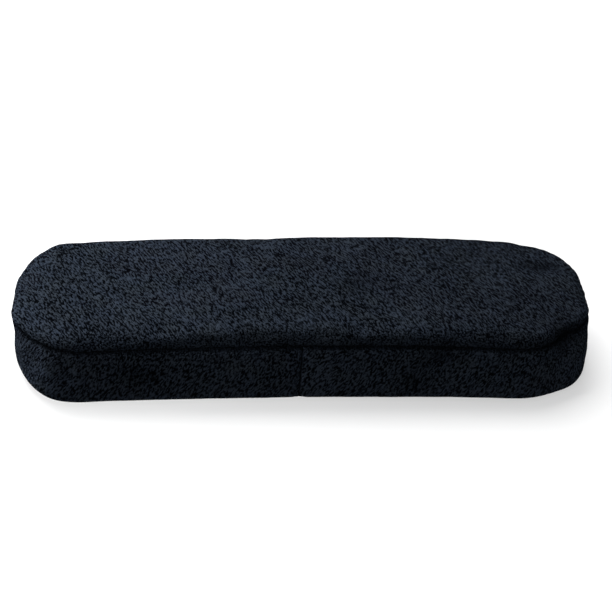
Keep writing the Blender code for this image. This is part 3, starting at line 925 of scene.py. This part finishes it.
class ARMREST_OT_cover_bands(bpy.types.Operator):
    """Make the two lengths of the plush side wall, from the front's middle round each end"""

    bl_idname = "armrest.cover_bands"
    bl_label = "Plush side bands"

    def execute(self, context):
        cover = context.scene.armrest_pad.cover
        form = CoverForm(cover)
        section = band_section(cover)
        overlap, near = 0.1 * MM, 1.2 * MM
        rear_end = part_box("rear_upper_strip")[1].x - overlap
        corner = Vector((form.outline.core_x, form.outline.core_y, 0))
        steps = round(corner.x / cover.net)
        around = round(QUARTER * cover.corner_radius / cover.net)
        route = 2 * corner.x - rear_end + 2 * corner.y + math.pi * cover.corner_radius
        high, low = cover.seam_height - 1.8 * MM, 4.5 * MM

        def held(point):
            """Along both seams, beside the zip and at the front's joint."""
            joined = rear_end + 14 * MM if point.y > 0 else 3 * MM
            return not low < point.z < high or abs(point.x) < joined

        for side, name in ((-1, "left"), (1, "right")):
            bm = bmesh.new()
            last = wire(bm, [(-overlap, -corner.y - across, up) for across, up in section])
            first = list(bm.verts)
            last = run(bm, last, (near, 0, 0), 2)
            last = run(bm, last, (corner.x - near, 0, 0), steps)
            last = turn(bm, last, (corner.x, -corner.y, 0), (0, 0, 1), QUARTER, around)
            last = run(bm, last, (0, 2 * corner.y, 0), 7)
            last = turn(bm, last, corner, (0, 0, 1), QUARTER, around)
            run(bm, last, (rear_end - corner.x, 0, 0), 3)
            for vert in first:  # the joint's edge turns in behind its neighbour
                vert.co.y += 2.4 * MM * min(1.0, vert.co.z / (6 * MM))
            bmesh.ops.scale(bm, verts=bm.verts, vec=(side, 1, 1))
            for vert in bm.verts:
                vert.co = form.broad(vert.co)
            face_way(bm, (side, 0, 0))
            band = finished_piece(f"cover_band_{name}", bm, "plush", None, 0)
            settle(band, held, pressure=0.5, cap=0.9 * MM, slack=0.012)
            finish_panel(band, form)
            declare_cloth(band, (section_length(section), route), f"{name}_band")
        return {"FINISHED"}


class ARMREST_OT_rear_strips(bpy.types.Operator):
    """Make the two plush strips above and below the zip, with their edges turned in and topstitched"""

    bl_idname = "armrest.rear_strips"
    bl_label = "Rear strips"

    def execute(self, context):
        pad = context.scene.armrest_pad
        cover = pad.cover
        form = CoverForm(cover)
        section = band_section(cover)
        seam, clear = cover.seam_height, 0.6 * MM
        upper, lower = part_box("rear_upper_strip")[0].z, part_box("rear_lower_strip")[1].z
        turned, folded = cover.corner_radius - 0.2 * MM, cover.corner_radius - 1.2 * MM
        above = [p for p in section if upper + clear < p[1] < seam - clear or p[1] == seam]
        below = [p for p in section if p[1] < lower - clear]
        for name, kept in (
            ("upper", above + [(turned, upper + 0.1 * MM), (folded, upper)]),
            ("lower", [(folded, lower), (turned, lower - 0.1 * MM)] + below),
        ):
            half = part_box(f"rear_{name}_strip")[1].x
            bm = bmesh.new()
            last = wire(bm, [(-half, form.outline.core_y + across, up) for across, up in kept])
            run(bm, last, (2 * half, 0, 0), round(2 * half / cover.net))
            for vert in bm.verts:
                vert.co = form.broad(vert.co)
            face_way(bm, (0, 1, 0))
            strip = finished_piece(f"rear_strip_{name}", bm, "plush", None, 0)
            finish_panel(strip, form)
            declare_cloth(strip, (section_length(kept) + cover.allowance, 2 * half), f"rear_{name}_strip")
        bm = bmesh.new()
        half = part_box("rear_upper_strip")[1].x - 2 * MM
        for up in (upper + 2.2 * MM, lower - 2.2 * MM):
            beside = min(section, key=lambda p: abs(p[1] - up))
            face = form.outline.core_y + beside[0] + 0.3 * MM
            stitches(bm, (-half, face, up), (half, face, up), (0, 1, 0), pad.strap)
        finished_piece("zip_topstitching", bm, "thread", "root")
        return {"FINISHED"}


class ARMREST_OT_underside(bpy.types.Operator):
    """Make the anti-slip underside and its grip print"""

    bl_idname = "armrest.underside"
    bl_label = "Underside"

    def execute(self, context):
        pad = context.scene.armrest_pad
        cover, sizes = pad.cover, pad.strap
        form = CoverForm(cover)
        high = UNDERSIDE_BOX[1]
        face = high.z - 1.4 * MM
        margin = 0.6 * MM  # how far it reaches behind the bands' lips
        bm = bmesh.new()
        round_grid(bm, high.x + margin, high.y + margin, cover.corner_radius - 9 * MM + margin, 4 * MM)
        for vert in bm.verts:
            moved = form.broad(vert.co)
            vert.co = (moved.x, moved.y, face + abs(0.25 * MM * ripple(vert.co, 16 * MM)))
        face_way(bm, (0, 0, -1))
        under = finished_piece("underside", bm, "grip_cloth", None, 0)
        refine(under, 1)
        thicken(under, 1.0 * MM)
        declare_cloth(under, (2 * high.y, 2 * high.x), "bottom_panel")
        bm = bmesh.new()
        depth, pitch = 63 * MM, sizes.dot_pitch
        rows = int(depth / pitch)
        for first, last in ((-49.5 * MM, 49.5 * MM), (-97 * MM, -80.5 * MM), (80.5 * MM, 97 * MM)):
            columns = int((last - first) / pitch)
            for column in range(columns + 1):
                for row in range(rows + 1):
                    x = (first + last) / 2 + (column - columns / 2) * pitch
                    y = (row - rows / 2) * pitch + (column % 2 - 0.5) * pitch / 2
                    if abs(y) <= depth / 2 - sizes.dot_radius:
                        self.make_dot(bm, Vector((x, y, face - 0.1 * MM)), sizes.dot_radius)
        dots = finished_piece("grip_print", bm, "grip_rubber", "root", 60)
        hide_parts("bottom_panel")
        return {"FINISHED"}

    def make_dot(self, bm, place, radius):
        """One rubber dot, narrower at its face."""
        bmesh.ops.create_cone(
            bm,
            segments=8,
            cap_ends=True,
            radius1=radius * 0.62,
            radius2=radius,
            depth=0.5 * MM,
            matrix=Matrix.Translation(place),
        )


class ARMREST_OT_zip(bpy.types.Operator):
    """Make the zip's woven tapes and coiled teeth, and finish its stops"""

    bl_idname = "armrest.zip"
    bl_label = "Zip"

    def execute(self, context):
        sizes = context.scene.armrest_pad.zip
        for name in ("upper", "lower"):
            bm = bmesh.new()
            box(bm, *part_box(f"zip_tape_{name}"), 0.12 * MM)
            tape = finished_piece(f"tape_{name}", bm, "zip_tape", "root")
            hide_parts(f"zip_tape_{name}")
            coil = finished_piece(f"coil_{name}", self.coil(name, sizes), "nylon", "root", 70)
            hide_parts(f"zip_coil_{name}")
        for name in ("zip_top_stop_upper", "zip_top_stop_lower", "zip_bottom_stop"):
            node = frame["nodes"][name]
            node.data.materials.clear()
            node.data.materials.append(finish_of("painted_metal"))
        return {"FINISHED"}

    def coil(self, name, sizes):
        """A nylon thread wound round the coil's axis, closed at both ends."""
        low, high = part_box(f"zip_coil_{name}")
        middle, steps = (low + high) / 2, 10
        turns = int((high.x - low.x - 2 * sizes.wire) / sizes.pitch)
        reach = (high.y - low.y) / 2 - sizes.wire
        start = Matrix.Translation((low.x + sizes.wire, middle.y, middle.z + reach))
        start = start @ Matrix.Rotation(QUARTER, 4, "X")
        bm = bmesh.new()
        thread = bmesh.ops.create_circle(bm, segments=5, radius=sizes.wire, matrix=start)
        bmesh.ops.spin(
            bm,
            geom=touching(thread["verts"], "edges"),
            cent=middle,
            axis=(1, 0, 0),
            dvec=(sizes.pitch / steps, 0, 0),
            angle=2 * math.pi * turns,
            steps=steps * turns,
        )
        bmesh.ops.holes_fill(bm, edges=[e for e in bm.edges if e.is_boundary])
        bmesh.ops.recalc_face_normals(bm, faces=bm.faces)
        return bm


class ARMREST_OT_slider(bpy.types.Operator):
    """Make the zip's slider: two wings on a post, with a bridge for the tab"""

    bl_idname = "armrest.slider"
    bl_label = "Zip slider"

    def execute(self, context):
        low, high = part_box("zip_slider")
        middle = (low + high) / 2
        wing, face = 0.7 * MM, low.y + 3.2 * MM
        bm = bmesh.new()
        for near, far in ((face - wing, face), (low.y, low.y + wing)):
            verts = box(bm, (low.x, near, low.z), (high.x, far, high.z))
            for vert in verts:
                if vert.co.x > middle.x:
                    vert.co.z = middle.z + (vert.co.z - middle.z) * 0.78
            round_off(bm, [e for e in touching(verts, "edges") if span(e).y > 0.5 * MM], 0.9 * MM, 4)
        round_off(bm, [e for e in bm.edges if span(e).y < 1e-6], context.scene.armrest_pad.zip.edge)
        post = 0.35 * MM
        start = (low.x + 0.8 * MM, low.y + 0.5 * MM, middle.z - post)
        box(bm, start, (low.x + 2.8 * MM, face - 0.5 * MM, middle.z + post))
        for side in (-1, 1):
            rail = middle.z + side * 2.05 * MM
            start = (middle.x - 2.0 * MM, face - 1.0 * MM, rail - 0.25 * MM)
            box(bm, start, (middle.x + 1.6 * MM, face - 0.4 * MM, rail + 0.25 * MM), 0.1 * MM)
        self.add_bridge(bm, middle, high.y, face - 0.3 * MM)
        bmesh.ops.recalc_face_normals(bm, faces=bm.faces)
        slider = finished_piece("slider", bm, "painted_metal", "zip_slider", 35)
        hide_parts("zip_slider")
        return {"FINISHED"}

    def add_bridge(self, bm, middle, top, base):
        """The flat loop that the tab hangs on, from one foot up and over to the other."""
        radius, half_depth, half_width = 1.85 * MM, 0.35 * MM, 0.8 * MM
        centre = Vector((middle.x, top - radius - half_depth, middle.z))
        before = set(bm.verts)
        foot = Matrix.Translation((middle.x - radius, base, middle.z)) @ Matrix.Rotation(QUARTER, 4, "X")
        last = plate(bm, foot @ scaled(half_depth, half_width, 1.0))
        last = run(bm, last, (0, centre.y - base, 0), 1)
        last = turn(bm, last, centre, (0, 0, -1), math.pi, 14)
        run(bm, last, (0, base - centre.y, 0), 1)
        bmesh.ops.remove_doubles(bm, verts=[v for v in bm.verts if v not in before], dist=1e-6)
        rims = [
            e
            for e in touching([v for v in bm.verts if v not in before], "edges")
            if abs(abs(e.verts[0].co.z - middle.z) - half_width) < 1e-6 and span(e).z < 1e-6
            if len(e.link_faces) == 2 and e.calc_face_angle(0) > 1.0
        ]
        round_off(bm, rims, 0.22 * MM)


class ARMREST_OT_pull_tab(bpy.types.Operator):
    """Make the zip's pull tab, with its eye, a grip slot and ribs"""

    bl_idname = "armrest.pull_tab"
    bl_label = "Pull tab"

    def execute(self, context):
        low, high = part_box("zip_pull_tab")
        middle = (low + high) / 2
        axis_x = low.x + 0.45 * MM
        bm = bmesh.new()
        for vert in box(bm, low, high):
            if vert.co.x < middle.x:
                vert.co.z = middle.z + (vert.co.z - middle.z) * 0.82
        far = [e for e in bm.edges if span(e).y > 0.5 * MM and e.verts[0].co.x > middle.x]
        round_off(bm, far, 2.2 * MM, 6)
        near = [e for e in bm.edges if span(e).y > 0.5 * MM and e.verts[0].co.x < axis_x]
        round_off(bm, near, 0.4 * MM)
        # The eye and the grip slot: where each starts and ends, and half its height
        eye = (axis_x + 0.45 * MM, axis_x + 3.2 * MM, 1.2 * MM)
        slot = (high.x - 6.4 * MM, high.x - 2.0 * MM, 0.8 * MM)
        cuts = [((x, 0, 0), (1, 0, 0)) for x in (*eye[:2], *slot[:2])]
        cuts += [((0, 0, middle.z + side * h), (0, 0, 1)) for h in (slot[2], eye[2]) for side in (-1, 1)]
        for place, normal in cuts:
            every = [*bm.verts, *bm.edges, *bm.faces]
            bmesh.ops.bisect_plane(bm, geom=every, plane_co=place, plane_no=normal)
        for first, last, half in (eye, slot):
            inside = [
                f
                for f in bm.faces
                if first < f.calc_center_median().x < last and abs(f.normal.y) > 0.9
                if abs(f.calc_center_median().z - middle.z) < half
            ]
            bmesh.ops.delete(bm, geom=inside, context="FACES")
            bmesh.ops.bridge_loops(bm, edges=[e for e in bm.edges if e.is_boundary])
        bmesh.ops.recalc_face_normals(bm, faces=bm.faces)
        flat = math.radians(1)
        bmesh.ops.dissolve_limit(bm, angle_limit=flat, verts=bm.verts, edges=bm.edges, delimit={"NORMAL"})
        sharp = [e for e in bm.edges if len(e.link_faces) == 2 and e.calc_face_angle(0) > 0.9]
        round_off(bm, sharp, context.scene.armrest_pad.zip.edge)
        for n in range(4):
            x = high.x - 12.2 * MM + n * 1.3 * MM
            start = (x, high.y - 0.1 * MM, middle.z - 1.5 * MM)
            box(bm, start, (x + 0.55 * MM, high.y + 0.15 * MM, middle.z + 1.5 * MM), 0.08 * MM)
        tab = finished_piece("pull_tab", bm, "painted_metal", "zip_pull", 35)
        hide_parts("zip_pull_tab")
        return {"FINISHED"}


def ribbon(bm, route, half_width, thickness, middle_x, ribs):
    """Webbing along a route of (y, z) points, with fine ribs along it."""
    bmesh.ops.subdivide_edges(bm, edges=wire(bm, [(middle_x - half_width, y, z) for y, z in route]), cuts=1)
    run(bm, list(bm.edges), (2 * half_width, 0, 0), ribs)
    face_way(bm, (0, 0, 1))
    bm.normal_update()
    for vert in bm.verts:
        rib = round((vert.co.x - middle_x + half_width) / (2 * half_width) * ribs)
        vert.co += vert.normal * (0.06 * MM if rib % 2 else 0.0)
    bmesh.ops.solidify(bm, geom=bm.faces, thickness=thickness)


class ARMREST_OT_straps(bpy.types.Operator):
    """Make the straps: hook webbing from the rear and loop webbing from the front, each sewn at its root"""

    bl_idname = "armrest.straps"
    bl_label = "Straps"

    def execute(self, context):
        sizes = context.scene.armrest_pad.strap
        for side in ("left", "right"):
            for kind in ("hook", "loop"):
                self.make_strap(kind, side, sizes)
            self.make_patch(side, sizes)
        return {"FINISHED"}

    def make_strap(self, kind, side, sizes):
        low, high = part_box(f"{kind}_strap_{side}")
        end_low, end_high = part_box(f"{kind}_strap_sewn_end_{side}")
        joint = next(j for j in frame["joints"] if j["name"] == f"{kind}_strap_{side}_swing")
        hinge = Vector(joint["pos_m"])
        middle_x, half = (low.x + high.x) / 2, (high.x - low.x) / 2
        thickness = end_high.z - end_low.z
        root_z = (end_low.z + end_high.z) / 2
        if kind == "hook":  # it dips from its root to lie under the loop strap
            free_z, rear = low.z + thickness / 2, 1
            finish, slot = "webbing", "webbing"
            route = [(end_high.y, root_z), (end_low.y, root_z), (hinge.y, root_z)]
            route += [(hinge.y - 1.2 * MM, root_z - 0.25 * MM), (19.6 * MM, free_z + 0.3 * MM)]
            route += [(y * MM, free_z) for y in (18.2, 12, 5, -2, -9, -16, -21)] + [(low.y, free_z)]
        else:
            rear = -1
            finish, slot = "loop_pile", "loop_cloth"
            route = [(end_low.y, root_z), (end_high.y, root_z), (hinge.y, root_z)]
            route += [(y * MM, root_z) for y in (-20, -14, -8, -3)] + [(high.y, root_z)]
        bm = bmesh.new()
        ribbon(bm, route, half - 0.1 * MM, thickness, middle_x, 20)
        bmesh.ops.translate(bm, verts=bm.verts, vec=(0, 0, low.z - min(v.co.z for v in bm.verts)))
        inner, under = half - 1.6 * MM, end_low.z - 0.02 * MM
        first, last = end_low.y + 1.2 * MM, end_high.y - 1.2 * MM
        turns = ((-inner, first), (inner, first), (inner, last), (-inner, last))
        corners = [(middle_x + x, y, under) for x, y in turns]
        for a, b in ((0, 1), (1, 2), (2, 3), (3, 0), (0, 2), (1, 3)):  # a box with a cross in it
            stitches(bm, corners[a], corners[b], (0, 0, -1), sizes)
        strap = finished_piece(f"{kind}_webbing_{side}", bm, finish, None, 50)
        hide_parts(f"{kind}_strap_{side}", f"{kind}_strap_sewn_end_{side}")
        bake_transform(strap)

    def make_patch(self, side, sizes):
        """The hook tape: rows of moulded hooks on a thin base."""
        low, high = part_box(f"hook_patch_{side}")
        middle, base = (low + high) / 2, low.z + 0.3 * MM
        columns = int((high.x - low.x - MM) / sizes.hook_pitch)
        rows = int((high.y - low.y - MM) / sizes.hook_pitch)
        bm = bmesh.new()
        box(bm, low, (high.x, high.y, base), 0.08 * MM)
        for column in range(columns + 1):
            for row in range(rows + 1):
                x = middle.x + (column - columns / 2) * sizes.hook_pitch
                y = middle.y + (row - rows / 2) * sizes.hook_pitch
                self.make_hook(bm, Vector((x, y, base)), high.z, 1 if column % 2 else -1)
        bmesh.ops.recalc_face_normals(bm, faces=bm.faces)
        patch = finished_piece(f"hook_tape_{side}", bm, "nylon", f"hook_strap_{side}", 60)
        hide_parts(f"hook_patch_{side}")

    def make_hook(self, bm, foot, top, way):
        """One moulded hook: a square stem, sunk a little in the base and bent over at its tip."""
        reach, sunk, half = 0.16 * MM, 0.05 * MM, 0.07 * MM
        before = set(bm.verts)
        place = Matrix.Translation(foot - Vector((0, way * reach, sunk)))
        rise = top - foot.z - reach - half + sunk
        last = run(bm, plate(bm, place @ scaled(0.1 * MM, half, 1.0)), (0, 0, rise), 1)
        turn(bm, last, foot + Vector((0, 0, rise - sunk)), (-way, 0, 0), math.radians(200), 4)
        bmesh.ops.remove_doubles(bm, verts=[v for v in bm.verts if v not in before], dist=1e-7)


class ARMREST_OT_stage(bpy.types.Operator):
    """Set up the floor, the backdrop, the lights and the camera"""

    bl_idname = "armrest.stage"
    bl_label = "Stage"

    def execute(self, context):
        scene = context.scene
        self.make_floor()
        self.make_backdrop()
        self.make_lights(scene)
        self.make_camera(scene)
        scene.view_settings.view_transform = "Standard"
        scene.view_settings.look = "None"
        return {"FINISHED"}

    def stage_piece(self, name, bm, material):
        piece = new_object(name, bm, material)
        piece.visible_diffuse = piece.visible_glossy = piece.visible_shadow = False
        return piece

    def make_floor(self):
        """A pale floor, seen from above only, so that the pad's underside can be looked at too."""
        finish = Finish("floor", 0.9)
        white, grey = (1.0, 1.0, 1.0, 1.0), (0.52, 0.52, 0.52, 1.0)
        finish.set(Base_Color=grey, Specular_IOR_Level=0.0, Emission_Color=white, Emission_Strength=0.30)
        clear = finish.node("ShaderNodeBsdfTransparent").outputs[0]
        behind = finish.node("ShaderNodeNewGeometry").outputs["Backfacing"]
        inputs = {0: behind, 1: finish.shader.outputs[0], 2: clear}
        mixed = finish.node("ShaderNodeMixShader", inputs=inputs).outputs[0]
        out = next(n for n in finish.tree.nodes if n.type == "OUTPUT_MATERIAL")
        finish.put(out.inputs["Surface"], mixed)
        bm = bmesh.new()
        bmesh.ops.create_grid(bm, x_segments=1, y_segments=1, size=5.0)
        return self.stage_piece("floor", bm, finish.material)

    def make_backdrop(self):
        finish = Finish("backdrop", 1.0)
        finish.set(Base_Color=(0, 0, 0, 1), Emission_Color=(1, 1, 1, 1), Emission_Strength=1.0)
        bm = bmesh.new()
        bmesh.ops.create_uvsphere(bm, u_segments=48, v_segments=24, radius=7.0)
        bmesh.ops.reverse_faces(bm, faces=bm.faces)
        return self.stage_piece("backdrop", bm, finish.material)

    def make_lights(self, scene):
        world = bpy.data.worlds.new("studio")
        world.use_nodes = True
        background = next(n for n in world.node_tree.nodes if n.type == "BACKGROUND")
        background.inputs["Color"].default_value = (0.97, 0.985, 1.0, 1.0)
        background.inputs["Strength"].default_value = 0.34
        scene.world = world
        for name, place, target, size, power in (
            ("overhead", (-0.30, 0.66, 1.36), (0, 0, 0), 1.1, 29.0),
            ("front_fill", (-0.7, -1.4, 0.9), (0, 0, 0.02), 0.9, 3.0),
            ("left_fill", (-0.58, 0.14, 0.34), (0, 0, 0.02), 0.3, 5.6),
        ):
            lamp = bpy.data.lights.new(name, "AREA")
            lamp.size, lamp.energy = size, power
            lamp.use_shadow = name != "left_fill"
            made = bpy.data.objects.new(name, lamp)
            made.location = place
            made.rotation_euler = (Vector(place) - Vector(target)).to_track_quat("Z", "Y").to_euler()
            scene.collection.objects.link(made)

    def make_camera(self, scene):
        """A long lens from the front, well above the pad, a little to its left and turned on its own axis."""
        height, azimuth, roll = math.radians(33.7), math.radians(-2.96), math.radians(-1.25)
        distance, aim = 0.78, Vector((0, 0, 0.0178))
        ahead = Vector((math.sin(azimuth), -math.cos(azimuth), 0))
        back = ahead * math.cos(height) + Vector((0, 0, math.sin(height)))
        right = Vector((math.cos(azimuth), math.sin(azimuth), 0))
        up = back.cross(right)
        across = right * math.cos(roll) - up * math.sin(roll)
        upward = right * math.sin(roll) + up * math.cos(roll)
        data = bpy.data.cameras.new("camera")
        data.lens, data.sensor_width = 98.8, 36.0
        data.shift_x, data.shift_y = 0.0088, 0.0184
        data.clip_start, data.clip_end = 0.01, 50.0
        camera = bpy.data.objects.new("camera", data)
        turned = Matrix((across, upward, back)).transposed().to_4x4()
        camera.matrix_world = Matrix.Translation(aim + back * distance) @ turned
        scene.collection.objects.link(camera)
        scene.camera = camera


PIECE_OPERATORS = (
    ARMREST_OT_foam,
    ARMREST_OT_cover_top,
    ARMREST_OT_cover_bands,
    ARMREST_OT_rear_strips,
    ARMREST_OT_underside,
    ARMREST_OT_zip,
    ARMREST_OT_slider,
    ARMREST_OT_pull_tab,
    ARMREST_OT_straps,
    ARMREST_OT_stage,
)


class ARMREST_PT_panel(bpy.types.Panel):
    """The pad's sizes, colours and pieces"""

    bl_label = "Armrest Pad"
    bl_idname = "ARMREST_PT_panel"
    bl_space_type = "VIEW_3D"
    bl_region_type = "UI"
    bl_category = "Armrest Pad"

    def draw(self, context):
        pad = context.scene.armrest_pad
        for group in (pad.cover, pad.zip, pad.strap, pad.colours):
            column = self.layout.box().column()
            for name in group.__annotations__:
                column.prop(group, name)
        self.layout.prop(pad, "settle_frames")
        for operator in PIECE_OPERATORS:
            self.layout.operator(operator.bl_idname)


CLASSES = (CoverSizes, ZipSizes, StrapSizes, Colours, PadSettings, *PIECE_OPERATORS, ARMREST_PT_panel)


def register():
    for made in CLASSES:
        bpy.utils.register_class(made)
    bpy.types.Scene.armrest_pad = PointerProperty(type=PadSettings)


def unregister():
    del bpy.types.Scene.armrest_pad
    for made in reversed(CLASSES):
        bpy.utils.unregister_class(made)


def main():
    register()
    for operator in PIECE_OPERATORS:
        group, name = operator.bl_idname.split(".")
        getattr(getattr(bpy.ops, group), name)()


if __name__ == "__main__":
    main()
